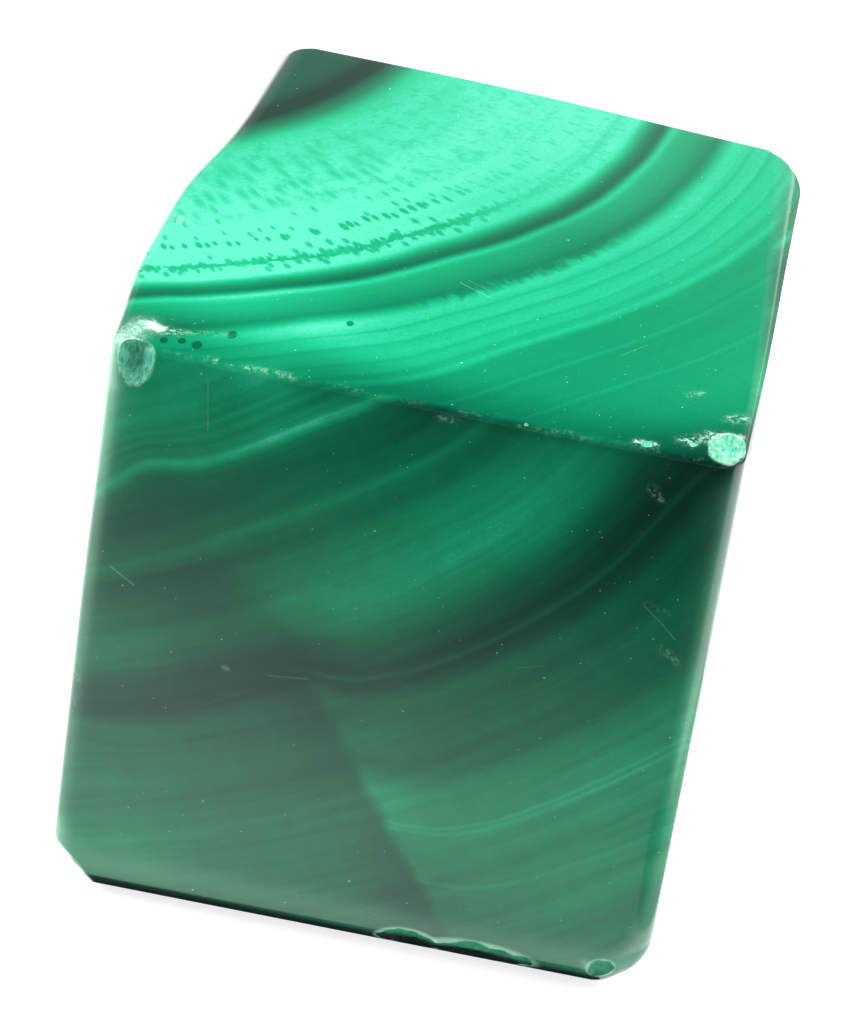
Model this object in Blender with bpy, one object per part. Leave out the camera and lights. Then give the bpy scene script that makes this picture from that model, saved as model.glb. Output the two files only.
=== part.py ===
"""A tumbled malachite cube: one block of banded stone, ground to six faces and rounded by tumbling.

The block stands on its flat underside. +Z is up and -Y is the front face. The model is in metres, and the
sizes below are in millimetres.
"""

import math

import bmesh
import bpy
from mathutils import Vector

MM = 0.001

# The eight corners that the faces would meet in if no edge were rounded, one tuple for each level.
# The order round the block is front left, front right, back right, back left.
HEIGHT = 21.9
FOOT_CORNERS = ((-10.36, -11.86), (10.33, -11.26), (9.6, 10.95), (-9.8, 11.45))
TOP_CORNERS = ((-9.72, -11.66), (10.22, -11.21), (9.9, 11.2), (-9.58, 11.75))

# How far tumbling has worn each of those corners round, in the same order.
FOOT_WEAR = (1.0, 1.9, 1.5, 1.4)
TOP_WEAR = (0.9, 0.9, 1.9, 1.3)

# Tumbled faces belly out a little in the middle. The underside stays flat, and the block rests on it.
BELLY = 0.1

# Low swells and hollows left by hand grinding: (place, reach, push), the push being a vector.
SWELLS = (
    ((-9.8, -0.7, 21.7), 3.6, (-0.56, 0.0, 0.0)),
    ((-9.8, -6.1, 21.7), 3.7, (-0.52, 0.0, 0.0)),
    ((-10.1, -8.5, 13.5), 6.0, (-0.1, 0.0, 0.0)),
    ((10.1, -3.5, 20.6), 6.0, (0.1, 0.0, 0.0)),
    ((-1.0, 11.5, 21.7), 6.5, (0.0, 0.3, 0.0)),
    ((3.0, 11.2, 10.0), 6.0, (0.0, 0.2, 0.0)),
)

# Chips struck off corners and edges: (name, struck point, way out of the stone, cutter radius, depth).
CHIPS = (
    ("chip_top_left", (-9.7, -11.65, 20.9), (-0.66, -0.7, 0.28), 3.2, 0.8),
    ("chip_top_right", (10.2, -11.2, 21.9), (0.45, -0.5, 0.74), 2.6, 1.15),
    ("chip_foot_left", (-10.4, -11.85, 0.0), (-0.72, -0.35, -0.6), 6.0, 1.6),
    ("chip_foot_edge", (2.0, -11.5, 0.0), (0.05, -0.75, -0.66), 2.2, 0.62),
    ("chip_foot_tail", (4.7, -11.4, 0.0), (0.0, -0.75, -0.66), 4.5, 0.5),
    ("chip_foot_right", (8.9, -11.28, 0.0), (0.15, -0.85, -0.5), 1.3, 0.72),
)

# The grid of each face: cells across a rounded edge, and cells across the flat between two edges.
EDGE_CELLS = 4
FLAT_CELLS = 12
FACE_CELLS = FLAT_CELLS + 2 * EDGE_CELLS
HALF_TURN_OF_EDGE = math.radians(45)
CUTTER_DETAIL = 3

# The straight block that the rounding is worked out in. Its sides are then drawn out to the corners above.
STRAIGHT_HALVES = Vector((10.0, 11.5, HEIGHT / 2))

STONE_COLOUR = (0.012, 0.235, 0.115, 1.0)
STONE_ROUGHNESS = 0.16
SHARP_ANGLE = math.radians(28)


def clear_scene():
    for old in list(bpy.data.objects):
        bpy.data.objects.remove(old, do_unlink=True)


def collection_named(name):
    made = bpy.data.collections.new(name)
    bpy.context.scene.collection.children.link(made)
    return made


def move_to(obj, collection):
    for holder in list(obj.users_collection):
        holder.objects.unlink(obj)
    collection.objects.link(obj)


def across(values, x, y):
    """The value at (x, y) of four corner values, where x and y run from 0 to 1."""
    front = values[0] * (1 - x) + values[1] * x
    back = values[3] * (1 - x) + values[2] * x
    return front * (1 - y) + back * y


def grid_place(share, half, wear):
    """Where the grid line at this share of a face (-1 to 1) lies, so that the edges get fine cells."""
    line = abs(share) * FACE_CELLS / 2
    flat_lines = FLAT_CELLS / 2
    if line <= flat_lines:
        place = (half - wear) * line / flat_lines
    else:
        turn = (line - flat_lines) / EDGE_CELLS * HALF_TURN_OF_EDGE
        place = half - wear + wear * math.tan(turn)
    return math.copysign(place, share)


def rounded(share, halves, wear):
    """A point of the straight block, moved in to where its worn edges and corners run."""
    placed = Vector([grid_place(s, half, wear) for s, half in zip(share, halves)])
    core = Vector([max(-half + wear, min(half - wear, p)) for p, half in zip(placed, halves)])
    return core + (placed - core).normalized() * wear


def block_point(share):
    """The place in the uneven block of a point of the plain cube, whose sides run from -1 to 1."""
    x, y, z = ((s + 1) / 2 for s in share)
    wear = across(FOOT_WEAR, x, y) * (1 - z) + across(TOP_WEAR, x, y) * z
    point = rounded(share, STRAIGHT_HALVES, wear)
    u, v, w = ((p / half + 1) / 2 for p, half in zip(point, STRAIGHT_HALVES))
    foot = across([Vector(c) for c in FOOT_CORNERS], u, v)
    top = across([Vector(c) for c in TOP_CORNERS], u, v)
    side = foot.lerp(top, w)
    return Vector((side.x, side.y, HEIGHT * w))


def bellied(point, share):
    """The point pushed out where tumbling left the middle of its face proud of the edges."""
    x, y, z = share
    push = Vector((
        x ** 5 * (1 - y * y) * (1 - z * z),
        y ** 5 * (1 - x * x) * (1 - z * z),
        max(z, 0.0) ** 5 * (1 - x * x) * (1 - y * y),
    ))
    return point + BELLY * push


def swollen(point):
    """The point pushed by each swell, more the nearer it lies. The underside isn't pushed up or down."""
    moved = point.copy()
    for place, reach, push in SWELLS:
        nearness = math.exp(-((point - Vector(place)).length / reach) ** 2)
        moved += Vector(push) * nearness
    return moved


def make_block(collection):
    bpy.ops.mesh.primitive_cube_add(size=2.0)
    block = bpy.context.object
    block.name = "malachite_cube"
    shape = bmesh.new()
    shape.from_mesh(block.data)
    bmesh.ops.subdivide_edges(shape, edges=shape.edges[:], cuts=FACE_CELLS - 1, use_grid_fill=True)
    for vertex in shape.verts:
        share = vertex.co.copy()
        vertex.co = swollen(bellied(block_point(share), share)) * MM
    shape.to_mesh(block.data)
    shape.free()
    move_to(block, collection)
    return block


def cut_chip(block, collection, name, struck, way_out, radius, depth):
    """Takes one shell-shaped chip off the block, with a ball whose surface reaches in to that depth."""
    centre = Vector(struck) + Vector(way_out).normalized() * (radius - depth)
    bpy.ops.mesh.primitive_ico_sphere_add(
        subdivisions=CUTTER_DETAIL, radius=radius * MM, location=centre * MM
    )
    cutter = bpy.context.object
    cutter.name = name
    cutter.hide_render = True
    cutter.display_type = "WIRE"
    move_to(cutter, collection)
    cut = block.modifiers.new(name, "BOOLEAN")
    cut.operation = "DIFFERENCE"
    cut.object = cutter


def set_on_origin(block, cutters):
    """Moves the block and its cutters, so that the middle of the block's footprint is at the origin."""
    bpy.context.view_layer.update()
    seen = block.evaluated_get(bpy.context.evaluated_depsgraph_get())
    corners = [Vector(c) for c in seen.bound_box]
    lowest = Vector([min(c[i] for c in corners) for i in range(3)])
    highest = Vector([max(c[i] for c in corners) for i in range(3)])
    middle = (lowest + highest) / 2
    shift = Vector((-middle.x, -middle.y, -lowest.z))
    for obj in (block, *cutters.objects):
        obj.location += shift


def finish_stone(block):
    stone = bpy.data.materials.new("malachite")
    stone.use_nodes = True
    shader = stone.node_tree.nodes["Principled BSDF"]
    shader.inputs["Base Color"].default_value = STONE_COLOUR
    shader.inputs["Roughness"].default_value = STONE_ROUGHNESS
    shader.inputs["Metallic"].default_value = 0.0
    block.data.materials.append(stone)
    block.data.shade_smooth()
    block.data.set_sharp_from_angle(angle=SHARP_ANGLE)


def main():
    clear_scene()
    parts = collection_named("tumbled_malachite_cube")
    cutters = collection_named("cutters")
    block = make_block(parts)
    finish_stone(block)
    for chip in CHIPS:
        cut_chip(block, cutters, *chip)
    set_on_origin(block, cutters)


main()
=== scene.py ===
"""A tumbled malachite cube on a pale floor: one polished block of banded stone with chipped corners.

The script is laid out as a Blender add-on and run as a script. The sizes in the lists are in millimetres.
"""

import math
import random

import bpy
import numpy as np
from bpy.props import FloatProperty, FloatVectorProperty, IntProperty, PointerProperty
from bpy.types import Operator, Panel, PropertyGroup
from mathutils import Matrix, Vector, noise


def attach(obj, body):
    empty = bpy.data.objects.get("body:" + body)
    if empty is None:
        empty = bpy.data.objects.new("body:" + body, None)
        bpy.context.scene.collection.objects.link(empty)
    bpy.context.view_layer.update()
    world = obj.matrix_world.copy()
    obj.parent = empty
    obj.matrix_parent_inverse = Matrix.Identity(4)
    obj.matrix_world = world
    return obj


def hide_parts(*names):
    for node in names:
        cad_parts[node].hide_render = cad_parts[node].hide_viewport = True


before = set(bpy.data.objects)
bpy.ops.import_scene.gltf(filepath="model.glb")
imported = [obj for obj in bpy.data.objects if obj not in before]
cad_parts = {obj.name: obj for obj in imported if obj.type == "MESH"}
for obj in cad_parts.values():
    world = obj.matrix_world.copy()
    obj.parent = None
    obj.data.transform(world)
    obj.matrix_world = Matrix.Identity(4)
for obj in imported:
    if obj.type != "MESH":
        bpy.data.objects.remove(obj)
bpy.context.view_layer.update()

bl_info = {
    "name": "Malachite cube",
    "version": (1, 0, 0),
    "blender": (4, 5, 0),
    "location": "View3D > Sidebar > Malachite",
    "description": "Builds a tumbled malachite cube and a small studio round it",
    "category": "Add Mesh",
}

MM = 0.001
NODE_NAME = "malachite_cube"
PIECE_NAME = "malachite_block"

# The block's eight corners as if no edge were rounded, front left, front right, back right, back left.
FOOT_CORNERS = ((-10.36, -11.86), (10.33, -11.26), (9.5, 10.95), (-9.8, 11.45))
TOP_CORNERS = ((-9.72, -11.66), (10.22, -11.21), (9.72, 11.2), (-9.58, 11.75))

# How far tumbling has worn the edges round, in the same order of corners: the foot's rim and the upright
# edges just above it, the upright edges higher up, and the rim of the top.
FOOT_WEAR = (1.0, 1.9, 1.5, 1.4)
UPRIGHT_WEAR = (0.55, 0.85, 1.9, 1.3)
TOP_WEAR = (0.27, 0.27, 1.9, 1.3)
WEAR_FADE = 8

# Low swells and hollows left by hand grinding: (place, reach, push).
SWELLS = (
    ((-9.8, -0.7, 21.7), 3.6, (-0.56, 0.0, 0.0)),
    ((-9.8, -6.1, 21.7), 3.7, (-0.52, 0.0, 0.0)),
    ((-10.1, -8.5, 13.5), 6.0, (-0.1, 0.0, 0.0)),
    ((10.1, -3.5, 20.6), 6.0, (0.07, 0.0, 0.0)),
    ((-1.0, 11.5, 21.7), 6.5, (0.0, 0.3, 0.0)),
    ((3.0, 11.2, 10.0), 6.0, (0.0, 0.2, 0.0)),
)

# Chips struck off corners and edges: (struck point, way out of the stone, cutter radius, depth, and the
# cutter's width along X as a share of its height).
CHIPS = (
    ((-8.88, -11.66, 21.9), (-0.03, -0.976, -0.217), 1.75, 0.38, 0.54),
    ((9.68, -10.2, 21.93), (0.0, 0.0, 1.0), 1.1, 0.3, 0.86),
    ((9.6, -10.66, 21.93), (0.0, 0.0, 1.0), 0.62, 0.27, 1.0),
    ((-10.4, -11.85, 0.0), (-0.72, -0.35, -0.6), 6.0, 1.6, 1.0),
    ((2.35, -11.31, 0.8), (0.0, -0.88, -0.47), 3.0, 0.17, 1.0),
    ((5.1, -11.22, 0.86), (0.0, -0.88, -0.47), 12.0, 0.1, 1.0),
    ((8.95, -11.3, 1.35), (0.0, -1.0, -0.3), 0.72, 0.3, 1.0),
)

# Small nicks: (struck point, way out of the stone, cutter radius, depth).
NICKS = (
    ((-9.6, -3.4, 21.95), (-0.5, 0.0, 1.0), 0.45, 0.12),
    ((5.25, -11.42, 21.9), (0.0, -0.7, 0.7), 0.4, 0.14),
    ((3.9, -11.45, 21.9), (0.0, -0.7, 0.7), 0.5, 0.12),
    ((7.15, -11.0, 21.95), (0.0, -0.3, 1.0), 0.3, 0.12),
    ((8.6, -10.5, 21.97), (0.0, -0.3, 1.0), 0.3, 0.07),
    ((7.75, -11.38, 20.35), (0.0, -1.0, 0.0), 0.34, 0.07),
    ((-4.9, -11.65, 21.9), (0.0, -0.7, 0.7), 0.6, 0.12),
    ((9.25, -11.35, 14.5), (0.0, -1.0, 0.0), 0.26, 0.05),
)
RIDGE_NICKS = 9
RIDGE_START = (-9.0, -11.64)
RIDGE_END = (9.0, -11.25)
RIDGE_HEIGHT = 21.9
NICK_SPREAD = (0.1, 0.9)
NICK_RADII = (0.14, 0.3)
NICK_LEANS = (0.4, 1.0)
NICK_DEPTHS = (0.08, 0.12)

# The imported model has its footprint's middle at the origin, which moves the numbers above by this much.
TO_ORIGIN = (0.0221, -0.006, 0.0)

STRAIGHT_HALVES = (10.0, 11.5)
COARSE_CELLS = 30
FINE_CELLS_IN_COARSE = 4
EDGE_CELLS = 22
CUTTER_DETAIL = 6
EDGE_HALF_TURN = math.radians(45)
SHARP_ANGLE = math.radians(28)

# The roughness of a chip's surface: bumps to the millimetre, the most that they stand up as a share of the
# cutter's radius, and how far apart the chips' patterns are taken, so that no two are alike.
RELIEF_GRAIN = 2.3
MOST_RELIEF = 0.16
PATTERN_STEP = 9.0

# The layers grew outwards from this point. Each lies at its own distance from it, give or take a little.
GROWTH_CENTRE = (-21.31, 14.59, 40.36)
LAYER_WOBBLE = 0.22

# Tones on faces turned towards the growth centre, where the stone looks silky: the layers' tones with a
# silky sheen painted in, lighter than where the fibres' ends show: (distance, tone).
SILKY_LAYERS = (
    (20.0, 0.07), (23.3, 0.085), (23.7, 0.07), (23.95, 0.035), (24.3, 0.04), (24.7, 0.20), (25.1, 0.50),
    (25.5, 0.61), (26.3, 0.64), (27.0, 0.68), (27.7, 0.72), (29.2, 0.73), (29.9, 0.72), (30.5, 0.70),
    (31.05, 0.70), (31.2, 0.66), (31.3, 0.57), (31.4, 0.45), (31.5, 0.34), (31.6, 0.26), (31.72, 0.19),
    (31.85, 0.15), (31.95, 0.135), (32.03, 0.17), (32.14, 0.34), (32.22, 0.48), (32.29, 0.54),
    (32.38, 0.45), (32.48, 0.38), (32.65, 0.345), (33.1, 0.295), (33.4, 0.25), (33.58, 0.205),
    (33.68, 0.23), (33.8, 0.31), (33.9, 0.39), (34.0, 0.47), (34.1, 0.54), (34.2, 0.575), (34.4, 0.565),
    (34.6, 0.52), (34.7, 0.44), (34.8, 0.52), (35.2, 0.53), (35.3, 0.43), (35.5, 0.50), (35.9, 0.51),
    (36.0, 0.43), (36.1, 0.48), (36.4, 0.47), (36.5, 0.40), (36.7, 0.42),
    (36.82, 0.50), (36.93, 0.45), (37.1, 0.32), (38.2, 0.30), (38.3, 0.36), (38.45, 0.30), (39.9, 0.31),
    (40.0, 0.37), (40.15, 0.32), (41.6, 0.34), (42.6, 0.32), (44.3, 0.15), (45.0, 0.15), (45.5, 0.26),
    (47.3, 0.27), (48.6, 0.40), (50.2, 0.46), (51.8, 0.38), (53.0, 0.38), (58.0, 0.34),
)

# Where the fibres' ends show, without the painted sheen, and the stone is darker, up to where the growth
# splits into two lobes.
INNER_LAYERS = (
    (20.0, 0.06), (23.9, 0.03), (25.5, 0.45), (31.3, 0.50), (32.1, 0.11), (32.3, 0.28), (33.6, 0.2),
    (34.2, 0.5), (36.2, 0.50), (36.5, 0.36), (36.62, 0.42), (36.75, 0.31), (36.9, 0.37), (37.05, 0.29),
    (37.2, 0.35), (37.32, 0.31), (37.42, 0.44), (37.5, 0.58),
    (37.62, 0.40), (37.75, 0.225), (38.2, 0.17), (38.6, 0.165), (39.05, 0.19), (39.3, 0.22),
    (39.5, 0.30), (39.62, 0.25), (39.85, 0.20),
)
RIGHT_LAYERS = (
    (40.1, 0.21), (40.5, 0.25), (41.0, 0.32), (41.5, 0.38), (42.05, 0.46), (42.6, 0.40), (42.95, 0.345),
    (43.25, 0.26), (43.6, 0.17), (44.1, 0.11), (44.45, 0.075), (44.65, 0.085), (44.76, 0.13),
    (44.88, 0.08), (45.1, 0.085), (45.4, 0.14), (45.65, 0.17), (46.0, 0.16), (46.6, 0.185),
    (47.15, 0.185), (47.6, 0.165), (48.05, 0.19), (48.4, 0.25), (48.65, 0.29), (49.25, 0.315),
    (49.6, 0.32), (49.8, 0.32), (49.9, 0.44), (49.98, 0.33), (50.1, 0.42), (50.2, 0.33), (51.3, 0.27),
    (51.95, 0.26), (52.08, 0.33), (52.2, 0.265), (53.0, 0.24), (53.5, 0.22), (54.1, 0.18), (56.0, 0.19),
    (58.0, 0.18),
)
LEFT_LAYERS = (
    (39.95, 0.15), (40.5, 0.165), (41.15, 0.18), (41.75, 0.205), (42.2, 0.19), (42.45, 0.165),
    (42.6, 0.11), (42.9, 0.09), (43.3, 0.08), (43.6, 0.075), (44.0, 0.08), (44.2, 0.115), (44.42, 0.15),
    (44.75, 0.155), (45.3, 0.155), (45.95, 0.18), (46.4, 0.165), (46.9, 0.17), (47.4, 0.205),
    (47.75, 0.23), (48.3, 0.235), (49.3, 0.22), (51.0, 0.20), (54.0, 0.18), (58.0, 0.18),
)

# The seam between the two lobes is a plane through the growth centre with this normal.
SEAM_NORMAL = (1.0, 0.022, 0.627)
SEAM_RISE = 1.2
SEAM_REACH = 1.6
SEAM_WOBBLE = 0.5
SEAM_SHADE = 0.34

# Distances over which the layers begin to rise at the seam, and over which the growth splits in two.
RISE_FROM = (38.3, 43.6)
SPLIT_FROM = (43.2, 44.4)

# Where the layers bulge or dip: (place, reach, push outwards).
WAVES = (
    ((-8.3, -11.6, 17.7), 1.4, 0.42),
    ((-10.1, -11.8, 7.1), 1.7, 0.45),
    ((0.0, -10.6, 21.9), 3.0, -0.4),
    ((-4.2, -8.2, 21.9), 2.2, 0.1),
    ((1.8, 4.2, 21.9), 7.5, -0.42),
    ((-3.6, -4.4, 21.9), 2.8, -0.17),
    ((-9.0, -8.6, 21.9), 2.2, 0.1),
    ((4.5, 10.5, 21.9), 4.0, 0.1),
    ((9.5, -11.5, 21.5), 4.2, 0.62),
)

# Places drawn darker or lighter than their layer: (place, reach, share added). One near the top's front
# edge is painted shade.
CLOUDS = (
    ((-3.0, -11.6, 13.8), 2.8, -0.22),
    ((-6.5, -11.6, 13.0), 3.0, -0.22),
    ((-8.6, -11.6, 15.0), 2.4, -0.16),
    ((-8.5, -11.6, 20.6), 2.0, -0.3),
    ((8.2, -11.5, 20.2), 3.4, -0.38),
    ((-1.5, -11.6, 6.4), 3.0, -0.12),
    ((-8.8, -11.7, 4.5), 3.2, 0.2),
    ((-9.5, -11.7, 17.5), 4.5, -0.1),
    ((9.4, -11.5, 8.0), 3.2, 0.3),
    ((8.6, -11.5, 3.6), 2.2, 0.25),
    ((4.0, -11.5, 19.0), 2.6, 0.14),
    ((-3.5, -11.5, 1.0), 3.6, -0.2),
    ((3.0, -11.5, 1.2), 2.8, -0.3),
    ((0.3, -11.6, 7.0), 1.7, 0.4),
    ((-4.0, -11.6, 20.3), 1.8, 0.25),
    ((1.5, 5.5, 21.9), 5.0, -0.06),
    ((-6.6, -7.5, 21.9), 2.5, 0.25),
    ((-3.6, -8.0, 21.9), 1.4, 0.18),
    ((-8.3, -11.6, 10.2), 1.6, 0.28),
    ((0.0, -11.6, 12.4), 1.5, 0.2),
    ((-7.5, -5.0, 21.9), 3.0, 0.12),
    ((-5.9, -11.6, 20.7), 1.0, -0.3),
    # Painted shade on the top near its front edge, adding to the painted edge shade.
    ((-3.2, -10.9, 21.9), 1.4, -0.18),
    ((1.7, 1.2, 21.9), 2.5, -0.12),
)

# Rows of dots in the palest stone: (distance, scatter, dots to the millimetre, dot radius, softness of the
# dots' edges, share of the dots that are there, darkening).
DOT_ROWS = (
    (29.55, 0.16, 2.7, 0.105, 0.04, 0.88, 0.42),
    (29.15, 0.35, 1.7, 0.08, 0.05, 0.6, 0.30),
    (28.55, 0.5, 1.6, 0.09, 0.07, 0.6, 0.26),
    (28.0, 0.4, 1.7, 0.14, 0.16, 0.7, 0.24),
    (27.4, 0.4, 1.6, 0.16, 0.2, 0.7, 0.24),
    (26.8, 0.4, 1.5, 0.18, 0.24, 0.7, 0.22),
    (26.2, 0.4, 1.4, 0.2, 0.28, 0.7, 0.2),
    (30.2, 0.35, 1.5, 0.085, 0.05, 0.65, 0.36),
    (30.6, 0.2, 3.4, 0.115, 0.05, 0.95, 0.4),
    (30.7, 0.34, 3.1, 0.1, 0.05, 0.8, 0.38),
    (30.92, 0.25, 1.6, 0.085, 0.05, 0.6, 0.36),
)
RAGGED_LINE = 30.63
RAGGED_DEPTH = 0.44
DOT_SQUEEZE = 0.68
ARC_RADIUS = 23.6
DOTS_FADE_OUT = (-15.5, -11.5)
FADED_DOTS = 0.25

# Soft blotches lie between these distances, and a row of teeth at its own.
BLOTCHES_FROM = (24.9, 25.6)
BLOTCHES_TO = (28.2, 29.3)
BLOTCH_DEPTH = 0.13
TEETH_FROM = (33.55, 33.75)
TEETH_TO = (34.1, 34.5)
TOOTH_LENGTH = 0.24

# Round dark dots in the light band near the front edge: (place, radius).
ROUND_DOTS = (
    ((-7.16, -10.86), 0.17),
    ((-6.29, -9.84), 0.17),
    ((-2.95, -7.74), 0.12),
    ((-7.66, -10.82), 0.13),
    ((-8.2, -11.0), 0.13),
)
ROUND_DOT_DEPTH = 0.6

# Hairline scratches on the front and on the top: (one end, other end, half width, share of bruised stone).
FRONT_SCRATCHES = (
    ((-6.55, 21.2), (-6.38, 19.4), 0.04, 0.1),
    ((-9.07, 13.57), (-8.26, 13.07), 0.05, 0.28),
    ((-3.54, 10.64), (-2.25, 10.82), 0.05, 0.12),
    ((8.05, 16.2), (8.75, 15.6), 0.03, 0.2),
    ((8.75, 15.6), (9.2, 15.15), 0.03, 0.2),
    ((-5.6, 8.9), (-4.1, 9.9), 0.03, 0.05),
    ((4.4, 12.9), (5.3, 13.2), 0.03, 0.08),
)
TOP_SCRATCHES = (
    ((-0.14, -3.8), (0.97, -4.36), 0.04, 0.22),
    ((0.1, -3.55), (0.9, -3.95), 0.03, 0.14),
    ((5.6, -6.2), (6.3, -5.2), 0.03, 0.12),
)

# Scuffed places, whitish and rough, each along a short line: (one end, other end, reach, strength). Where
# the strength passes 1, the cores take the painted glint colour: painted glints.
SCUFFS_AND_GLINTS = (
    ((-8.8, -10.25, 21.9), (-8.4, -10.42, 21.9), 0.2, 1.6),
    ((-8.4, -10.4, 21.9), (-7.9, -10.35, 21.9), 0.16, 1.3),
    ((-8.0, -10.4, 21.9), (-6.3, -9.85, 21.9), 0.12, 0.4),
    ((-9.4, -11.2, 21.9), (-9.0, -10.4, 21.9), 0.42, 0.75),
    ((-6.7, -11.5, 21.9), (-6.4, -11.5, 21.9), 0.1, 0.8),
    ((-5.4, -11.5, 21.9), (-3.9, -11.5, 21.9), 0.13, 0.7),
    ((0.8, -11.5, 21.5), (1.3, -11.5, 21.5), 0.1, 0.6),
    ((3.3, -11.5, 21.8), (4.4, -11.5, 21.8), 0.12, 0.9),
    ((5.0, -11.4, 21.85), (5.5, -11.4, 21.85), 0.1, 0.9),
    ((6.9, -11.05, 21.9), (7.4, -11.0, 21.9), 0.12, 1.6),
    ((8.3, -10.4, 21.9), (9.0, -10.0, 21.9), 0.22, 1.0),
    ((9.0, -9.75, 21.9), (10.0, -9.5, 21.9), 0.18, 1.1),
    ((9.5, -8.6, 21.9), (10.0, -8.3, 21.9), 0.2, 0.9),
    ((8.0, -7.7, 21.9), (8.4, -7.4, 21.9), 0.12, 0.6),
    ((7.6, -11.4, 20.5), (7.95, -11.4, 20.1), 0.14, 0.7),
    ((8.9, -11.4, 14.7), (9.4, -11.4, 14.35), 0.14, 0.7),
    ((8.1, -11.4, 16.3), (8.9, -11.4, 16.1), 0.1, 0.35),
    ((-10.0, -11.8, 9.6), (-9.9, -11.8, 8.9), 0.16, 0.5),
    ((-10.0, -11.8, 8.1), (-9.9, -11.8, 7.8), 0.12, 0.5),
)

# Pale places, written in the same way: painted highlights on the front's upright edges, a painted
# reflection of the floor just above the foot, a painted glint and a painted highlight by two of the chips,
# bruised places beside the chips, and two grains of dust.
RUBS_AND_HIGHLIGHTS = (
    # Painted highlights on the front's left upright edge.
    ((-10.2, -11.85, 3.0), (-9.8, -11.7, 16.0), 0.45, 0.2),
    ((-9.85, -11.7, 17.0), (-9.75, -11.66, 20.2), 0.5, 0.34),
    ((-9.8, -11.6, 20.4), (-9.75, -11.5, 21.6), 0.36, 0.6),
    # Bruised stone beside the top's left chip.
    ((-9.4, -11.3, 21.9), (-9.05, -10.4, 21.9), 0.4, 0.5),
    # A painted highlight on the front's right upright edge.
    ((10.3, -11.3, 9.0), (10.25, -11.22, 20.5), 0.6, 0.12),
    # A painted reflection of the floor just above the foot.
    ((-9.7, -11.85, 1.5), (9.4, -11.3, 1.65), 0.65, 0.13),
    # A painted highlight low on the right upright edge.
    ((10.3, -11.2, 1.6), (10.3, -11.2, 6.0), 0.45, 0.12),
    # Bruised stone beside the foot's left chip.
    ((-10.3, -11.8, 1.2), (-10.25, -11.75, 2.4), 0.5, 0.5),
    ((-10.0, -12.0, 0.2), (-9.4, -11.9, 0.3), 0.35, 0.35),
    # A painted glint by the top's left chip.
    ((-8.72, -10.3, 21.95), (-8.5, -10.38, 21.95), 0.15, 2.3),
    # A painted highlight by the foot's right chip.
    ((8.3, -11.5, 1.55), (8.32, -11.5, 1.15), 0.14, 1.3),
    # Two grains of dust.
    ((2.13, -11.8, 6.46), (2.14, -11.8, 6.42), 0.1, 1.5),
    ((-5.0, -11.8, 10.6), (-4.9, -11.8, 10.57), 0.09, 0.6),
)
RIDGE_SCUFF = 0.25
# The chips' pale rims, partly bruised stone and partly a painted highlight: their width, and their
# strength.
CHIP_RIM = 0.1
RIM_SCUFF_AND_HIGHLIGHT = 0.75

# The upright edge under the right chip is worn a little dull: (one end, other end, reach, added roughness).
DULL_EDGE = ((10.3, -11.3, 14.0), (10.25, -11.25, 21.0), 0.8, 0.13)

# Dust: (specks to the millimetre, size) for each kind, where it lies thickest, and how pale it is.
DUST = ((1.15, 0.06), (1.9, 0.07), (2.9, 0.08))
DUST_PLACE = (9.0, -11.0, 20.5)
DUST_REACH = 9.0
DUST_PALENESS = 0.65

POLISHED_IOR = 1.55
BROKEN_IOR = 1.5

# The stage is in metres. The dark sheets lie on the floor as painted shade: the camera doesn't see them and
# they cast no shadow, while reflections and bounced light see them.
FLOOR_SIZE = 3.0
LIGHT_SIZE = (0.5, 0.36)
LIGHT_SIDE = 0.34
LIGHT_HEIGHT = 0.32
CARD_PLACE = (0.0, -0.163, 0.0004)
CARD_SIZE = (0.6, 0.3)
CARD_FADE = (0.01, 0.043)
STRIP_PLACE = (-0.0009, -0.01123, 0.00005)
STRIP_SIZE = (0.0197, 0.0014)
STRIP_TURN = math.radians(1.66)
SIDE_SHEETS = (
    ("side_sheet", (0.0175, -0.0065, 0.0003), (0.01, 0.029), 0.55),
    ("far_sheet", (0.062, 0.09, 0.0003), (0.1, 0.13), 0.85),
)
SHADE_SHEET_COLOUR = (0.01, 0.01, 0.01, 1.0)
WHITE = (1.0, 1.0, 1.0, 1.0)

# The sky is bright up to this height, as a share of the way to the zenith, and dark behind the camera.
SKY_ENDS = (0.41, 0.52)
DARK_SKY = 0.02
BEHIND_CAMERA = (-0.104, -0.975, 0.2)
BEHIND_ENDS = (0.92, 0.965)
BEHIND_SHARE = 0.1

# The camera's azimuth, elevation and roll in degrees, and its place in millimetres.
CAMERA_ANGLES = (7.1, 33.0, 8.3)
CAMERA_PLACE = (12.85, -108.95, 81.92)


class Wire:
    """What a shader socket puts out. Arithmetic on it adds Math nodes to the same material."""

    def __init__(self, board, socket):
        self.board = board
        self.socket = socket

    def __add__(self, other):
        return self.board.maths("ADD", self, other)

    __radd__ = __add__

    def __sub__(self, other):
        return self.board.maths("SUBTRACT", self, other)

    def __rsub__(self, other):
        return self.board.maths("SUBTRACT", other, self)

    def __mul__(self, other):
        return self.board.maths("MULTIPLY", self, other)

    __rmul__ = __mul__

    def __truediv__(self, other):
        return self.board.maths("DIVIDE", self, other)

    def __neg__(self):
        return self * -1.0


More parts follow.
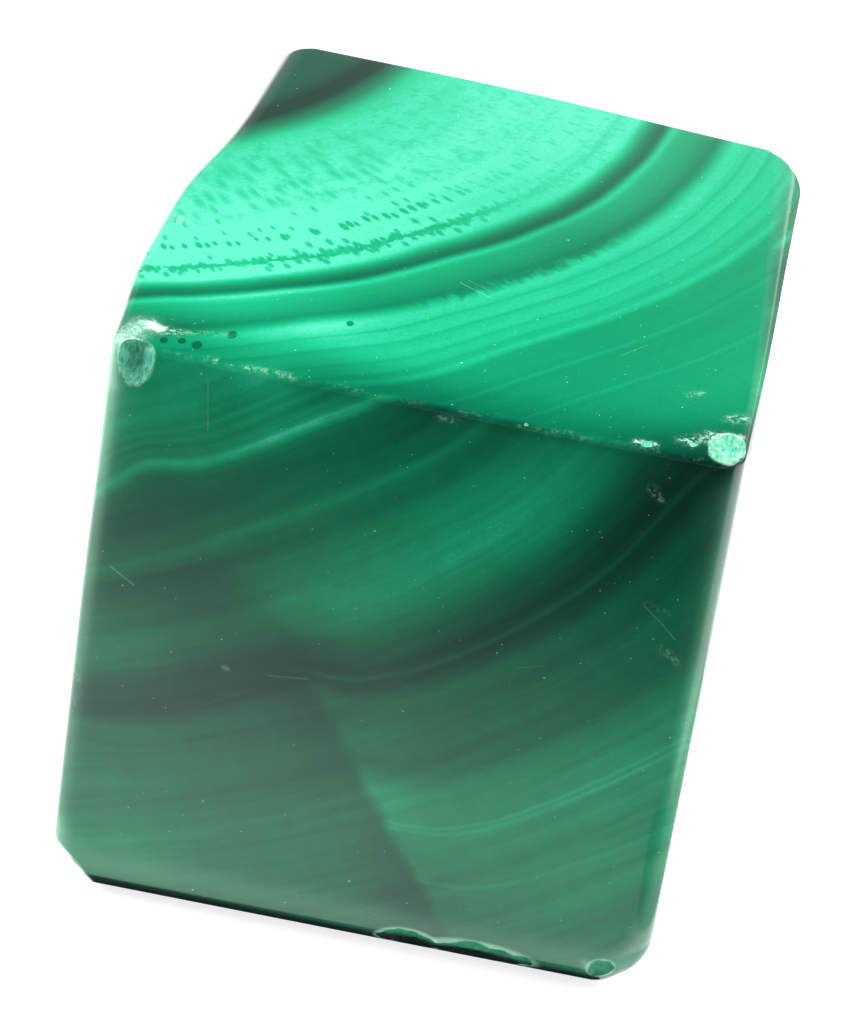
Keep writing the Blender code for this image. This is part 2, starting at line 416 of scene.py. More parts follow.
class Board:
    """A material's node tree. Every node that isn't arithmetic comes from add."""

    def __init__(self, owner):
        owner.use_nodes = True
        self.tree = owner.node_tree
        self.shader = self.tree.nodes.get("Principled BSDF") or self.tree.nodes["Background"]

    def add(self, kind, settings=None, sockets=None, output=0):
        node = self.tree.nodes.new(kind)
        for name, value in (settings or {}).items():
            if name == "stops":
                self.set_stops(node.color_ramp, value)
            else:
                setattr(node, name, value)
        for place, value in (sockets or {}).items():
            self.feed(node.inputs[place], value)
        return Wire(self, node.outputs[output])

    def feed(self, socket, value):
        if isinstance(value, Wire):
            self.tree.links.new(value.socket, socket)
        else:
            socket.default_value = value

    def set_stops(self, ramp, stops):
        while len(ramp.elements) < len(stops):
            ramp.elements.new(1.0)
        for element, (place, colour) in zip(ramp.elements, stops):
            element.position = place
            element.color = colour

    def maths(self, operation, *values):
        return self.add("ShaderNodeMath", {"operation": operation}, dict(enumerate(values)))

    def vector(self, operation, *values, output=0):
        return self.add("ShaderNodeVectorMath", {"operation": operation}, dict(enumerate(values)), output)

    def distance(self, point, place):
        return self.vector("DISTANCE", point, place, output="Value")

    def part(self, vector, axis):
        """One coordinate of a vector: X, Y or Z."""
        return self.add("ShaderNodeSeparateXYZ", sockets={0: vector}, output=axis)

    def place(self):
        """Where the point that is shaded lies in the object, in millimetres."""
        place = self.add("ShaderNodeTexCoord", output="Object")
        return self.add("ShaderNodeVectorMath", {"operation": "SCALE"}, {"Vector": place, "Scale": 1 / MM})

    def times_plus(self, first, second, third):
        """The first times the second, plus the third, in one node, which renders faster than two."""
        return self.maths("MULTIPLY_ADD", first, second, third)

    def fall(self, distance, reach):
        """1 where the distance is 0, and falling off softly as it grows."""
        return self.maths("EXPONENT", distance * distance * (-1 / reach ** 2))

    def step(self, value, low, high, start=0.0, end=1.0):
        """Runs softly from start, at the low value, to end, at the high one. Low may be the larger."""
        sockets = dict(enumerate((value, low, high, start, end)))
        return self.add("ShaderNodeMapRange", {"interpolation_type": "SMOOTHSTEP"}, sockets)

    def spot(self, point, place, reach):
        """1 at the place, and falling off softly with the distance from it."""
        return self.fall(self.distance(point, place), reach)

    def speckle(self, point, scale, detail=2.0, roughness=0.5):
        """Cloudy noise from 0 to 1, with this many grains to the millimetre."""
        sockets = {"Vector": point, "Scale": scale, "Detail": detail, "Roughness": roughness}
        return self.add("ShaderNodeTexNoise", {"normalize": True}, sockets)

    def segment(self, point, start, end):
        """Distance from the straight line between two points."""
        run = Vector(end) - Vector(start)
        from_start = self.vector("SUBTRACT", point, start)
        along = self.vector("DOT_PRODUCT", from_start, tuple(run / run.length_squared), output="Value")
        share = self.add("ShaderNodeClamp", sockets={0: along})
        sockets = {"Vector": tuple(run), "Scale": share}
        nearest = self.add("ShaderNodeVectorMath", {"operation": "SCALE"}, sockets)
        return self.distance(from_start, nearest)

    def beads(self, run, density):
        """How far the nearest bead on a string lies, as a share of their spacing, and two random shares."""
        sockets = {"W": run, "Scale": density}
        settings = {"voronoi_dimensions": "1D"}
        gap = self.add("ShaderNodeTexVoronoi", settings, sockets, "Distance")
        colour = self.add("ShaderNodeTexVoronoi", settings, sockets, "Color")
        red = self.add("ShaderNodeSeparateColor", sockets={0: colour}, output="Red")
        green = self.add("ShaderNodeSeparateColor", sockets={0: colour}, output="Green")
        return gap, red, green

    def cells(self, point, scale, output="Distance"):
        """Distance from the nearest of many strewn specks, or its own colour."""
        return self.add("ShaderNodeTexVoronoi", sockets={"Vector": point, "Scale": scale}, output=output)

    def blend(self, share, first, second):
        """A number between two others."""
        return self.add("ShaderNodeMix", {"data_type": "FLOAT"}, {0: share, 2: first, 3: second})

    def tint(self, share, first, second):
        """A colour between two others."""
        return self.add("ShaderNodeMix", {"data_type": "RGBA"}, {0: share, 6: first, 7: second}, 2)


# A ramp holds no more stops than this.
MOST_STOPS = 32


def grey(value):
    return (value, value, value, 1.0)


def layer_tone(board, distance, layers):
    """The tone at this distance from the growth centre. Long records run over several ramps."""
    total = None
    start = 0
    while start < len(layers) - 1:
        part = layers[start:start + MOST_STOPS]
        low, high = part[0][0], part[-1][0]
        stops = [((d - low) / (high - low), grey(tone)) for d, tone in part]
        share = (distance - low) / (high - low)
        tone = board.add("ShaderNodeValToRGB", {"stops": stops}, {0: share})
        total = tone if total is None else total + tone - part[0][1]
        start += MOST_STOPS - 1
    return total


def four(colour):
    return (*colour, 1.0)


class MalachiteShape(PropertyGroup):
    height: FloatProperty(
        name="Height", description="Height that the faces are drawn out to",
        default=21.9 * MM, min=0.005, max=0.05, unit="LENGTH", precision=4,
    )
    belly: FloatProperty(
        name="Belly", description="How far the middle of a face stands proud of its edges",
        default=0.1 * MM, min=0.0, max=0.001, unit="LENGTH", precision=5,
    )
    fracture: FloatProperty(
        name="Fracture relief", description="How rough the surface of a chip is",
        default=0.08 * MM, min=0.0, max=0.0005, unit="LENGTH", precision=5,
    )
    seed: IntProperty(
        name="Seed", description="Picks the places of the small nicks along the edges",
        default=7, min=0,
    )


class MalachiteFinish(PropertyGroup):
    black_green: FloatVectorProperty(
        name="Blackish green", description="The darkest layers",
        subtype="COLOR", default=(0.0, 0.014, 0.008), min=0.0, max=1.0,
    )
    bottle_green: FloatVectorProperty(
        name="Bottle green", description="Dark layers",
        subtype="COLOR", default=(0.001, 0.07, 0.036), min=0.0, max=1.0,
    )
    deep_green: FloatVectorProperty(
        name="Deep green", description="Layers of middle tone",
        subtype="COLOR", default=(0.001, 0.14, 0.065), min=0.0, max=1.0,
    )
    bright_green: FloatVectorProperty(
        name="Bright green", description="Broad plain layers",
        subtype="COLOR", default=(0.003, 0.23, 0.1), min=0.0, max=1.0,
    )
    light_green: FloatVectorProperty(
        name="Light green", description="Light layers",
        subtype="COLOR", default=(0.007, 0.35, 0.168), min=0.0, max=1.0,
    )
    pale_green: FloatVectorProperty(
        name="Pale green", description="Layers between light green and mint",
        subtype="COLOR", default=(0.028, 0.43, 0.25), min=0.0, max=1.0,
    )
    mint: FloatVectorProperty(
        name="Mint", description="The palest layers",
        subtype="COLOR", default=(0.075, 0.52, 0.345), min=0.0, max=1.0,
    )
    bruise: FloatVectorProperty(
        name="Bruised stone", description="Chipped places and dust",
        subtype="COLOR", default=(0.32, 0.62, 0.46), min=0.0, max=1.0,
    )
    # Painted glints: the colour that the strongest scuffs and rubs run to, standing in for glints of light.
    painted_glint: FloatVectorProperty(
        name="White scuffs", description="The whitest grains where edges have been knocked",
        subtype="COLOR", default=(0.8, 0.9, 0.8), min=0.0, max=1.0,
    )
    polish: FloatProperty(
        name="Polish roughness", description="Roughness of the polished faces",
        default=0.13, min=0.0, max=1.0, subtype="FACTOR",
    )


class MalachiteStage(PropertyGroup):
    floor: FloatVectorProperty(
        name="Floor", description="Colour of the plain floor",
        subtype="COLOR", default=(0.38, 0.38, 0.38), min=0.0, max=1.0,
    )
    underlight: FloatProperty(
        name="Floor glow", description="Brightness of the light that comes up through the floor",
        default=0.8, min=0.0,
    )
    key_power: FloatProperty(
        name="Left light", description="Power of the soft light on the left, in watts",
        default=4.4, min=0.0,
    )
    fill_share: FloatProperty(
        name="Right light", description="Power of the right light as a share of the left one's",
        default=0.85, min=0.0, subtype="FACTOR",
    )
    sky: FloatProperty(
        name="Sky", description="Brightness of the walls round the stage",
        default=0.5, min=0.0,
    )
    lens: FloatProperty(
        name="Focal length", description="Focal length on a sensor 36 mm wide, in millimetres",
        default=132.2, min=10.0,
    )


# The finish's colours from dark to light, and the tones that they stand for.
TONES = ("black_green", "bottle_green", "deep_green", "bright_green", "light_green", "pale_green", "mint")
TONE_PLACES = (0.02, 0.10, 0.20, 0.33, 0.50, 0.62, 0.75)
LIGHTEST = TONE_PLACES[-1]


def select_only(*objects):
    bpy.ops.object.select_all(action="DESELECT")
    for obj in objects:
        obj.select_set(True)
    bpy.context.view_layer.objects.active = objects[0]


def corner_values(values, x, y):
    """The value at (x, y) of four corner values, where x and y run from 0 to 1."""
    front = np.multiply.outer(1 - x, values[0]) + np.multiply.outer(x, values[1])
    back = np.multiply.outer(1 - x, values[3]) + np.multiply.outer(x, values[2])
    deep = y if front.ndim == 1 else y[:, None]
    return front * (1 - deep) + back * deep


def worn_block(shares, height, belly):
    """Places of the cube's vertices in the stone, in millimetres, from their shares of each side (-1 to 1).

    The upright edges are rounded in plan, and the rims of the top and the foot are rounded across that.
    """
    halves = np.array([*STRAIGHT_HALVES, height / 2])
    cells = COARSE_CELLS * FINE_CELLS_IN_COARSE
    flat_lines = cells / 2 - EDGE_CELLS
    line = np.abs(shares) * cells / 2
    flat = np.minimum(line / flat_lines, 1)
    turn = np.tan(np.clip((line - flat_lines) / EDGE_CELLS, 0, 1) * EDGE_HALF_TURN)
    x, y = ((shares[:, :2] + 1) / 2).T
    below = shares[:, 2] < 0
    foot_wear = corner_values(FOOT_WEAR, x, y)
    upright_wear = corner_values(UPRIGHT_WEAR, x, y)
    near_foot = np.where(below, flat[:, 2] ** WEAR_FADE, 0)
    wear = foot_wear * near_foot + upright_wear * (1 - near_foot)
    rim = np.where(below, foot_wear, corner_values(TOP_WEAR, x, y ** 2))
    outward = np.maximum(turn[:, 0], turn[:, 1])
    around = np.arctan2(turn[:, 1], turn[:, 0])
    lift = np.arctan2(turn[:, 2], outward)
    reach = np.where(outward > 0, wear - rim, 0) + rim * np.cos(lift)
    point = np.column_stack([
        (halves[0] - wear) * flat[:, 0] + reach * np.cos(around),
        (halves[1] - wear) * flat[:, 1] + reach * np.sin(around),
        (halves[2] - rim) * flat[:, 2] + rim * np.sin(lift),
    ]) * np.sign(shares)
    u, v, w = ((point / halves + 1) / 2).T
    side = corner_values(np.array(FOOT_CORNERS), u, v) * (1 - w)[:, None]
    side += corner_values(np.array(TOP_CORNERS), u, v) * w[:, None]
    bx, by, bz = (point / halves).T
    point = np.column_stack([side, height * w])
    point[:, 0] += belly * bx ** 5 * (1 - by ** 2) * (1 - bz ** 2)
    point[:, 1] += belly * by ** 5 * (1 - bx ** 2) * (1 - bz ** 2)
    point[:, 2] += belly * np.clip(bz, 0, None) ** 5 * (1 - bx ** 2) * (1 - by ** 2)
    moved = point.copy()
    for place, reach, push in SWELLS:
        near = np.exp(-(np.linalg.norm(point - place, axis=1) / reach) ** 2)
        moved += near[:, None] * np.array(push)
    return moved + TO_ORIGIN


def ridge_nicks(seed):
    """Small nicks strewn along the edge between the top and the front."""
    dice = random.Random(seed)
    nicks = []
    for number in range(RIDGE_NICKS):
        share = (number + dice.uniform(*NICK_SPREAD)) / RIDGE_NICKS
        x, y = Vector(RIDGE_START).lerp(Vector(RIDGE_END), share)
        radius = dice.uniform(*NICK_RADII)
        way_out = (0.0, -dice.uniform(*NICK_LEANS), 1.0)
        nicks.append(((x, y, RIDGE_HEIGHT), way_out, radius, dice.uniform(*NICK_DEPTHS)))
    return nicks


class MALACHITE_OT_block(Operator):
    """Builds the chipped, rounded block of malachite"""

    bl_idname = "malachite.block"
    bl_label = "Malachite block"

    def execute(self, context):
        shape = context.scene.malachite_shape
        finish = context.scene.malachite_finish
        block = self.draw_block(shape)
        polished = make_polished(finish)
        broken = make_broken(finish)
        block.data.materials.append(polished)
        for number, chip in enumerate((*CHIPS, *NICKS, *ridge_nicks(shape.seed))):
            self.strike(block, broken, shape, number, *chip)
        select_only(block)
        bpy.ops.object.shade_smooth_by_angle(angle=SHARP_ANGLE)
        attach(block, "root")
        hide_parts(NODE_NAME)
        return {"FINISHED"}

    def draw_block(self, shape):
        bpy.ops.object.select_all(action="DESELECT")
        bpy.ops.mesh.primitive_cube_add(size=2.0)
        block = bpy.context.object
        block.name = PIECE_NAME
        bpy.ops.object.mode_set(mode="EDIT")
        bpy.ops.mesh.select_all(action="SELECT")
        bpy.ops.mesh.subdivide(number_cuts=COARSE_CELLS - 1)
        bpy.ops.mesh.select_all(action="SELECT")
        bpy.ops.mesh.subdivide(number_cuts=FINE_CELLS_IN_COARSE - 1)
        bpy.ops.object.mode_set(mode="OBJECT")
        count = len(block.data.vertices)
        shares = np.empty(count * 3)
        block.data.vertices.foreach_get("co", shares)
        placed = worn_block(shares.reshape(-1, 3), shape.height / MM, shape.belly / MM)
        block.data.vertices.foreach_set("co", (placed * MM).ravel())
        block.data.update()
        return block

    def strike(self, block, broken, shape, number, struck, way_out, radius, depth, width=1.0):
        """Takes one chip off the block with a ball whose surface is roughened."""
        middle = Vector(struck) + Vector(TO_ORIGIN) + Vector(way_out).normalized() * (radius - depth)
        bpy.ops.object.select_all(action="DESELECT")
        detail = CUTTER_DETAIL if radius > 1 else CUTTER_DETAIL - 1
        bpy.ops.mesh.primitive_ico_sphere_add(subdivisions=detail, radius=radius * MM)
        cutter = bpy.context.object
        relief = min(shape.fracture / MM, radius * MOST_RELIEF)
        pattern = Vector((number * PATTERN_STEP, 0, 0))
        for vertex in cutter.data.vertices:
            place = vertex.co / MM
            grain = noise.fractal(place * RELIEF_GRAIN + pattern, 1.0, 2.0, 4)
            rough = place * (1 + grain * relief / radius)
            vertex.co = (rough * Vector((width, 1.0, 1.0)) + middle) * MM
        cutter.data.materials.append(broken)
        select_only(block)
        cut = block.modifiers.new("chip", "BOOLEAN")
        cut.operation = "DIFFERENCE"
        cut.solver = "MANIFOLD"
        cut.material_mode = "TRANSFER"
        cut.object = cutter
        bpy.ops.object.modifier_apply(modifier=cut.name)
        bpy.data.objects.remove(cutter, do_unlink=True)


def make_polished(finish):
    stone = bpy.data.materials.new("polished_malachite")
    board = Board(stone)
    facing = board.add("ShaderNodeTexCoord", output="Normal")
    point = board.place()
    from_centre = board.vector("SUBTRACT", point, GROWTH_CENTRE)
    outwards = board.vector("NORMALIZE", from_centre)
    grown = growth(board, point, from_centre)

    # Painted sheen: faces turned towards the growth centre take the lighter silky tones, partly the layers'
    # own tones and partly a sheen painted in; the others take the darker tones.
    ends = board.vector("DOT_PRODUCT", facing, outwards, output="Value")
    ends_without_sheen = board.step(ends, -0.42, 0.3)
    dull = lobes(board, point, from_centre, grown) * 1.08
    silky_sheen_tone = layer_tone(board, feathered(board, outwards, grown), SILKY_LAYERS)
    silky_sheen_tone = silky_sheen_tone * (1.0 - pale_marks(board, point, grown))
    tone = board.blend(ends_without_sheen, silky_sheen_tone, dull)
    for spot_place, reach, share in CLOUDS:
        tone = tone * board.times_plus(board.spot(point, spot_place, reach), share, 1.0)
    tone = tone * growth_lines(board, point, outwards, grown, ends_without_sheen)
    # Painted shade along the top's front edge and along the foot.
    tone = tone * painted_edge_shade(board, point)

    on_front = board.step(-board.part(facing, "Y"), 0.5, 0.8)
    on_top = board.step(board.part(facing, "Z"), 0.5, 0.8)
    front_flat = board.vector("MULTIPLY", point, (1.0, 0.0, 1.0))
    top_flat = board.vector("MULTIPLY", point, (1.0, 1.0, 0.0))
    squeezed = board.vector("MULTIPLY", point, (1.0, DOT_SQUEEZE, 0.0))
    for (x, y), size in ROUND_DOTS:
        reach = board.distance(squeezed, (x, y * DOT_SQUEEZE, 0.0))
        dot = board.step(reach, size * 1.15, size * 0.75, 0.0, -ROUND_DOT_DEPTH)
        tone = tone * board.times_plus(dot, on_top, 1.0)

    stops = [(tone_of / LIGHTEST, four(getattr(finish, name))) for tone_of, name in zip(TONE_PLACES, TONES)]
    colour = board.add("ShaderNodeValToRGB", {"stops": stops}, {0: tone / LIGHTEST})

    marks = scuffs_and_highlights(board, point) + dust(board, point)
    for (x, z), (end_x, end_z), half, strength in FRONT_SCRATCHES:
        line = board.segment(front_flat, (x, 0.0, z), (end_x, 0.0, end_z))
        marks = board.times_plus(board.step(line, half, 0.0, 0.0, strength), on_front, marks)
    for (x, y), (end_x, end_y), half, strength in TOP_SCRATCHES:
        line = board.segment(top_flat, (x, y, 0.0), (end_x, end_y, 0.0))
        marks = board.times_plus(board.step(line, half, 0.0, 0.0, strength), on_top, marks)
    # Marks stronger than 1 run to the painted glint colour: painted glints.
    whitest = board.step(marks, 1.0, 1.9)
    marks = board.maths("MINIMUM", marks, 1.0)
    pale = board.tint(whitest, four(finish.bruise), four(finish.painted_glint))
    board.feed(board.shader.inputs["Base Color"], board.tint(marks, colour, pale))
    start, end, reach, duller = DULL_EDGE
    rough = marks * 0.4 + board.step(board.part(point, "Z"), 0.45, 0.8, 0.3, 0.0)
    rough = board.times_plus(board.fall(board.segment(point, start, end), reach), duller, rough)
    board.feed(board.shader.inputs["Roughness"], rough + finish.polish)
    board.shader.inputs["IOR"].default_value = POLISHED_IOR
    return stone


def growth(board, point, from_centre):
    """Distance from the growth centre, with the layers' bulges and a faint unevenness."""
    grown = board.vector("LENGTH", from_centre, output="Value")
    for place, reach, push in WAVES:
        grown = board.times_plus(board.spot(point, place, reach), push, grown)
    return grown + (board.speckle(point, 0.3, 3.0) - 0.5) * LAYER_WOBBLE


def lobes(board, point, from_centre, grown):
    """Tone of the layers on each side of the seam between the two lobes."""
    seam = Vector(SEAM_NORMAL).normalized()
    beside = board.vector("DOT_PRODUCT", from_centre, tuple(seam), output="Value")
    beside = beside + (board.speckle(point, 0.8) - 0.5) * SEAM_WOBBLE
    rise = board.maths("EXPONENT", board.maths("MAXIMUM", beside, 0.0) / -SEAM_REACH) * SEAM_RISE
    rise = rise * board.step(grown, *RISE_FROM)
    right = layer_tone(board, grown + rise, INNER_LAYERS + RIGHT_LAYERS)
    left = layer_tone(board, grown, INNER_LAYERS + LEFT_LAYERS)
    beyond = board.step(grown, *SPLIT_FROM)
    shade = 1.0 - board.step(beside, -2.8, -0.1, 0.0, SEAM_SHADE) * beyond
    blur = (1.0 - beyond) * 1.4 + 0.3
    return board.blend(board.step(beside, -blur, blur), left * shade, right)


def pale_marks(board, point, grown):
    """The dots, the ragged line and the soft blotches that darken the palest layers."""
    centre_x, centre_y = GROWTH_CENTRE[:2]
    turn = board.maths("ARCTAN2", board.part(point, "Y") - centre_y, board.part(point, "X") - centre_x)
    arc = turn * ARC_RADIUS
    squeezed = grown * DOT_SQUEEZE
    marks = 0.0
    for number, (distance, scatter, density, size, soft, there, strength) in enumerate(DOT_ROWS):
        gap, chance, shift = board.beads(arc + number * 17.3, density)
        along = gap / density
        middle = (distance + scatter / 2) * DOT_SQUEEZE
        across = board.times_plus(shift, scatter * DOT_SQUEEZE, squeezed - middle)
        away = board.maths("SQRT", board.times_plus(along, along, across * across))
        radius = board.times_plus(chance, size * 0.7, size * 0.6)
        dot = board.step(away - radius, soft, -soft, 0.0, strength)
        dot = dot * board.step(chance, 1.0 - there, 1.02 - there)
        marks = board.maths("MAXIMUM", dot, marks)
    ragged = (board.speckle(point, 2.6, 3.0, 0.75) - 0.5) * 0.6
    away = board.maths("ABSOLUTE", grown - RAGGED_LINE + ragged)
    gaps = board.step(board.speckle(point, 1.1), 0.36, 0.46)
    marks = board.maths("MAXIMUM", board.step(away, 0.14, 0.05) * gaps * RAGGED_DEPTH, marks)
    marks = marks * board.step(arc, *DOTS_FADE_OUT, 1.0, FADED_DOTS)
    inside = board.step(grown, *BLOTCHES_FROM) * board.step(grown, *BLOTCHES_TO, 1.0, 0.0)
    blotch = board.step(board.speckle(point, 2.2, 2.0, 0.6), 0.48, 0.7)
    return board.maths("MAXIMUM", blotch * inside * BLOTCH_DEPTH, marks)


def feathered(board, outwards, grown):
    """The distance, with the fibres' ends making a row of teeth on the light band's inner edge."""
    fibres = board.speckle(board.vector("MULTIPLY", outwards, (120.0, 120.0, 120.0)), 1.0, 1.0)
    row = board.step(grown, *TEETH_FROM) * board.step(grown, *TEETH_TO, 1.0, 0.0)
    east = board.part(outwards, "X")
    there = board.step(east, 0.56, 0.64) * board.step(east, 0.7, 0.79, 1.0, 0.0)
    return grown - board.step(fibres, 0.3, 0.7) * row * there * TOOTH_LENGTH


def growth_lines(board, point, outwards, grown, ends_without_sheen):
    """Fine layers, fibres across them, and a faint grain. It lies round 1."""
    layers, fibres = (
        board.add("ShaderNodeTexNoise", {"noise_dimensions": "4D"}, {
            "Vector": board.vector("MULTIPLY", outwards, (across, across, across)),
            "W": grown * along, "Scale": 1.0, "Detail": detail, "Roughness": roughness,
        })
        for across, along, detail, roughness in ((5.0, 3.0, 4.0, 0.62), (52.0, 0.22, 3.0, 0.6))
    )
    grain = board.speckle(point, 9.0, 2.0)
    layer_depth = ends_without_sheen * 0.54 + 0.26
    fibre_depth = ends_without_sheen * 0.26 + 0.08
    return (layers - 0.5) * layer_depth + (fibres - 0.5) * fibre_depth + (grain - 0.5) * 0.22 + 1.0


def painted_edge_shade(board, point):
    """Painted shade: darkens the stone on both sides of the top's front edge, on the left only the top, and
    along the foot.
    """
    east, deep, height = (board.part(point, axis) for axis in "XYZ")
    across = board.vector("MULTIPLY", point, (0.0, 1.0, 1.0))
    near = board.fall(board.distance(across, (0.0, -11.4, RIDGE_HEIGHT)), 1.6)
    both_sides = near * board.step(east, -6.0, 1.0, 0.0, 0.45) * board.step(height, 21.2, 21.8, 0.5, 1.0)
    on_top = board.step(deep, -11.2, -8.6, 0.42, 0.0) * board.step(height, 21.6, 21.9)
    on_top = on_top * board.step(east, -5.0, 3.0, 1.0, 0.0)
    # Painted shade along the foot: a little darker below 1.8 mm, nearly black below 0.75 mm, fading out by
    # 1.1 mm, where the rounded edge faces the floor.
    foot = board.step(height, 0.2, 1.8, 0.85, 1.0) * board.step(height, 0.75, 1.1, 0.03, 1.0)
    return (1.0 - both_sides) * (1.0 - on_top) * foot


def scuffs_and_highlights(board, point):
    """Share of whitish, rough stone where edges have been knocked, along the ridge and round the chips,
    with painted highlights on the chips' rims and along the front's edges, a painted reflection just above
    the foot, and painted glints.
    """
    grit = board.step(board.speckle(point, 6.5, 3.0, 0.75), 0.44, 0.66)
    total = 0.0
    for start, end, reach, strength in SCUFFS_AND_GLINTS:
        total = board.times_plus(board.fall(board.segment(point, start, end), reach), strength, total)
    ridge = board.segment(point, (*RIDGE_START, RIDGE_HEIGHT), (*RIDGE_END, RIDGE_HEIGHT))
    worn = board.step(board.speckle(point, 1.3, 3.0), 0.42, 0.66)
    total = board.times_plus(board.step(ridge, 0.2, 0.05, 0.0, RIDGE_SCUFF), worn, total)
    total = grit * total
    rough = board.step(board.speckle(point, 2.4, 3.0, 0.7), 0.36, 0.62)
    rough = board.maths("MAXIMUM", rough, board.step(board.part(point, "Z"), 1.5, 2.5, 1.0, 0.0))
    # Pale rims round the chips, partly bruised stone and partly a painted highlight, at full strength near
    # the foot.
    for struck, way_out, radius, depth, width in CHIPS:
        middle = Vector(struck) + Vector(TO_ORIGIN) + Vector(way_out).normalized() * (radius - depth)
        narrowed = board.vector("MULTIPLY", point, (1 / width, 1.0, 1.0))
        away = board.distance(narrowed, (middle.x / width, middle.y, middle.z))
        rim = board.step(away, radius + CHIP_RIM, radius, 0.0, RIM_SCUFF_AND_HIGHLIGHT)
        total = board.times_plus(rim, rough, total)
    for start, end, reach, strength in RUBS_AND_HIGHLIGHTS:
        total = board.times_plus(board.fall(board.segment(point, start, end), reach), strength, total)
    return total


def dust(board, point):
    """Tiny pale specks, thickest near the upper right corner of the front."""
    near = board.spot(point, DUST_PLACE, DUST_REACH)
    marks = 0.0
    for density, size in DUST:
        spots = board.cells(point, density)
        chance = board.add("ShaderNodeSeparateColor", sockets={0: board.cells(point, density, "Color")})
        there = board.step(board.times_plus(near, -0.45, chance), 0.3, 0.2)
        specks = board.step(spots, size, size * 0.3) * there
        marks = board.times_plus(specks, board.times_plus(chance, -2.0, 1.2), marks)
    return marks * DUST_PALENESS


def make_broken(finish):
    stone = bpy.data.materials.new("broken_malachite")
    board = Board(stone)
    point = board.place()
    height = board.part(point, "Z")
    grain = board.speckle(board.vector("MULTIPLY", point, (10.0, 4.0, 3.2)), 1.0, 4.0, 0.65)
    pale = board.step(grain, 0.36, 0.57, 0.28, 1.0) * board.step(height, 1.0, 21.9, 0.15, 0.9)
    deep = board.tint(board.speckle(point, 1.6), four(finish.deep_green), four(finish.light_green))
    bruised = board.step(board.speckle(point, 4.0), 0.4, 0.6)
    bruised = bruised * board.step(board.part(point, "X"), -6.0, 6.0, 0.32, 1.0)
    light = board.tint(bruised, four(finish.mint), four(finish.bruise))
    colour = board.tint(pale, deep, light)
    # Painted shade: the broken stone turns blackish green below 0.75 to 1.1 mm, as along the foot's rounded
    # edge.
    colour = board.tint(board.step(height, 0.75, 1.1), four(finish.black_green), colour)
    rough = board.step(board.speckle(point, 6.0), 0.4, 0.6, 0.45, 0.7)
    board.feed(board.shader.inputs["Base Color"], colour)
    board.feed(board.shader.inputs["Roughness"], rough)
    bump = board.add("ShaderNodeBump", sockets={"Strength": 0.5, "Distance": 0.00004, "Height": grain})
    board.feed(board.shader.inputs["Normal"], bump)
    board.shader.inputs["IOR"].default_value = BROKEN_IOR
    return stone


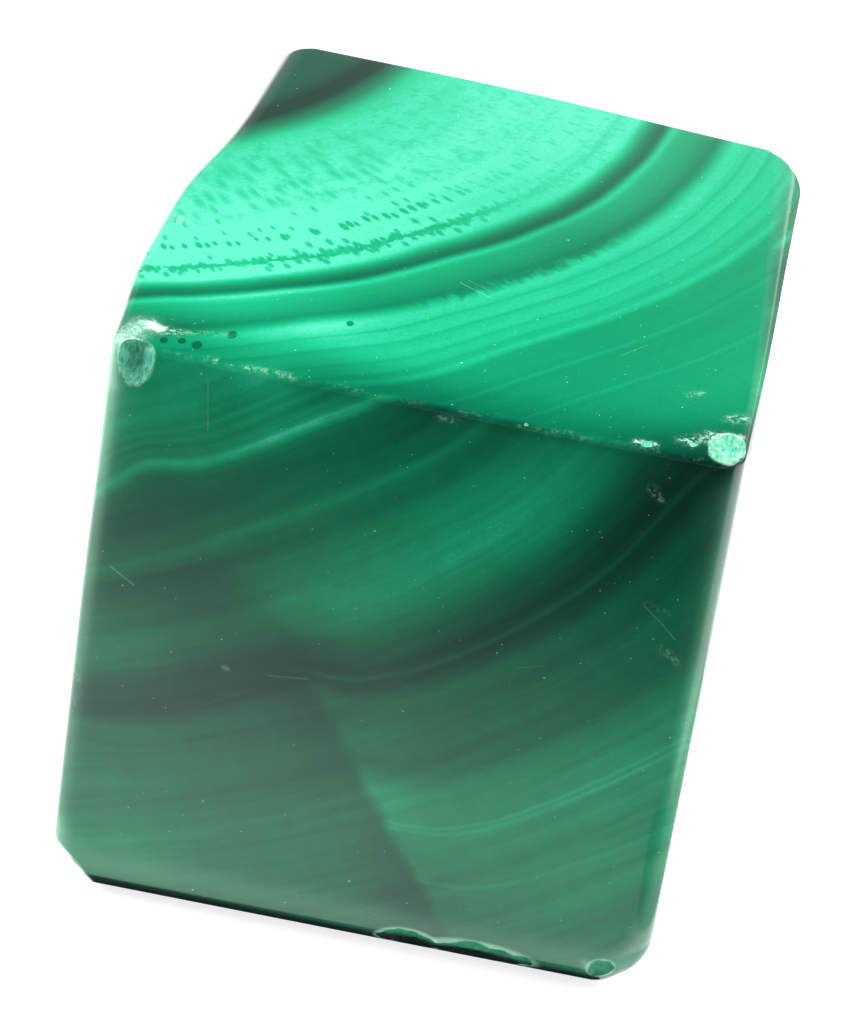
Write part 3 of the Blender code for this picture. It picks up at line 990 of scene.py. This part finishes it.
class MALACHITE_OT_stage(Operator):
    """Adds the plain floor, the soft lights, the dark sheets, the walls and the camera"""

    bl_idname = "malachite.stage"
    bl_label = "Floor, lights and camera"

    def execute(self, context):
        stage = context.scene.malachite_stage
        self.lay_floor(stage)
        self.hang_lights(stage)
        self.lay_card()
        self.lay_strip()
        self.lay_side_sheets()
        self.paint_walls(stage)
        self.set_camera(stage)
        context.scene.view_settings.view_transform = "Standard"
        return {"FINISHED"}

    def lay_floor(self, stage):
        bpy.ops.object.select_all(action="DESELECT")
        bpy.ops.mesh.primitive_plane_add(size=FLOOR_SIZE)
        floor = bpy.context.object
        floor.name = "floor"
        paper = bpy.data.materials.new("floor_paper")
        board = Board(paper)
        board.shader.inputs["Base Color"].default_value = four(stage.floor)
        board.shader.inputs["Roughness"].default_value = 0.9
        board.shader.inputs["Specular IOR Level"].default_value = 0.0
        board.shader.inputs["Emission Color"].default_value = WHITE
        board.shader.inputs["Emission Strength"].default_value = stage.underlight
        floor.data.materials.append(paper)

    def hang_lights(self, stage):
        for name, place, power in (
            ("left_light", (-LIGHT_SIDE, 0.0, LIGHT_HEIGHT), stage.key_power),
            ("right_light", (LIGHT_SIDE, 0.0, LIGHT_HEIGHT), stage.key_power * stage.fill_share),
        ):
            bpy.ops.object.light_add(type="AREA", location=place)
            light = bpy.context.object
            light.name = name
            light.data.shape = "RECTANGLE"
            light.data.size, light.data.size_y = LIGHT_SIZE
            light.data.energy = power
            along = Vector((0.0, 1.0, 0.0))
            towards_light = Vector(place).normalized()
            across = towards_light.cross(along)
            turned = Matrix((along, across, towards_light)).transposed()
            light.matrix_world = Matrix.Translation(place) @ turned.to_4x4()

    def lay_card(self):
        """Lays a dark card in front of the camera's view, painted shade on the floor in front of the stone,
        which the polished front reflects.
        """
        board = self.dark_sheet("dark_card", CARD_PLACE, CARD_SIZE)
        place = board.add("ShaderNodeTexCoord", output="Object")
        forward = board.vector("DOT_PRODUCT", place, (0.47, -1.0, 0.0), output="Value")
        board.feed(board.shader.inputs["Alpha"], board.step(forward, *CARD_FADE))

    def lay_strip(self):
        """Lays a narrow dark strip along the foot's front, a painted contact shadow, which keeps the foot's
        rounded edge dark.
        """
        self.dark_sheet("dark_strip", STRIP_PLACE, STRIP_SIZE, STRIP_TURN)

    def lay_side_sheets(self):
        """Lays half dark sheets on the right, painted shade on the floor, which dull the lower right edge
        and the rim of the top.
        """
        for name, place, size, dark in SIDE_SHEETS:
            board = self.dark_sheet(name, place, size)
            board.shader.inputs["Alpha"].default_value = dark

    def dark_sheet(self, name, place, size, turn=0.0):
        """A flat dark sheet of painted shade that the camera doesn't see and that casts no shadow."""
        bpy.ops.object.select_all(action="DESELECT")
        bpy.ops.mesh.primitive_plane_add(size=1.0)
        sheet = bpy.context.object
        sheet.name = name
        sheet.scale = (*size, 1.0)
        sheet.rotation_euler.z = turn
        sheet.location = place
        bpy.ops.object.transform_apply(location=True, rotation=True, scale=True)
        sheet.visible_camera = False
        sheet.visible_shadow = False
        shade_sheet_material = bpy.data.materials.new(name)
        board = Board(shade_sheet_material)
        board.shader.inputs["Base Color"].default_value = SHADE_SHEET_COLOUR
        board.shader.inputs["Roughness"].default_value = 1.0
        sheet.data.materials.append(shade_sheet_material)
        return board

    def paint_walls(self, stage):
        """Makes the surroundings pale low down, and dark high up and behind the camera."""
        world = bpy.data.worlds.new("studio")
        bpy.context.scene.world = world
        board = Board(world)
        way = board.add("ShaderNodeTexCoord", output="Generated")
        behind_camera = board.vector("DOT_PRODUCT", way, BEHIND_CAMERA, output="Value")
        sky = board.step(board.part(way, "Z"), *SKY_ENDS, stage.sky, DARK_SKY)
        sky = sky * board.step(behind_camera, *BEHIND_ENDS, 1.0, BEHIND_SHARE)
        board.feed(board.shader.inputs["Strength"], sky)
        board.shader.inputs["Color"].default_value = WHITE

    def set_camera(self, stage):
        azimuth, elevation, roll = (math.radians(angle) for angle in CAMERA_ANGLES)
        level = Vector((math.sin(azimuth), -math.cos(azimuth), 0.0))
        back = level * math.cos(elevation) + Vector((0.0, 0.0, math.sin(elevation)))
        right = (-back).cross(Vector((0, 0, 1))).normalized()
        up = back.cross(right)
        turned = Matrix((right, up, back)).transposed() @ Matrix.Rotation(-roll, 3, "Z").transposed()
        camera = bpy.data.objects.new("camera", bpy.data.cameras.new("camera"))
        bpy.context.scene.collection.objects.link(camera)
        camera.matrix_world = Matrix.Translation(Vector(CAMERA_PLACE) * MM) @ turned.to_4x4()
        camera.data.lens = stage.lens
        camera.data.sensor_width = 36.0
        camera.data.clip_start = 0.005
        camera.data.clip_end = 20.0
        bpy.context.scene.camera = camera


class MALACHITE_PT_sidebar(Panel):
    """Lists the parts of the malachite cube and their settings"""

    bl_label = "Malachite cube"
    bl_idname = "MALACHITE_PT_sidebar"
    bl_space_type = "VIEW_3D"
    bl_region_type = "UI"
    bl_category = "Malachite"

    def draw(self, context):
        layout = self.layout
        for operator in OPERATORS:
            layout.operator(operator.bl_idname)
        for name in SETTINGS:
            settings = getattr(context.scene, name)
            box = layout.box()
            for key in settings.bl_rna.properties.keys():
                if key not in ("rna_type", "name"):
                    box.prop(settings, key)


OPERATORS = (MALACHITE_OT_block, MALACHITE_OT_stage)
SETTINGS = {
    "malachite_shape": MalachiteShape,
    "malachite_finish": MalachiteFinish,
    "malachite_stage": MalachiteStage,
}
CLASSES = (*SETTINGS.values(), *OPERATORS, MALACHITE_PT_sidebar)


def register():
    for cls in CLASSES:
        bpy.utils.register_class(cls)
    for name, group in SETTINGS.items():
        setattr(bpy.types.Scene, name, PointerProperty(type=group))


def unregister():
    for name in SETTINGS:
        delattr(bpy.types.Scene, name)
    for cls in reversed(CLASSES):
        bpy.utils.unregister_class(cls)


def main():
    register()
    bpy.ops.malachite.block()
    bpy.ops.malachite.stage()
    bpy.context.view_layer.update()


if __name__ == "__main__":
    main()
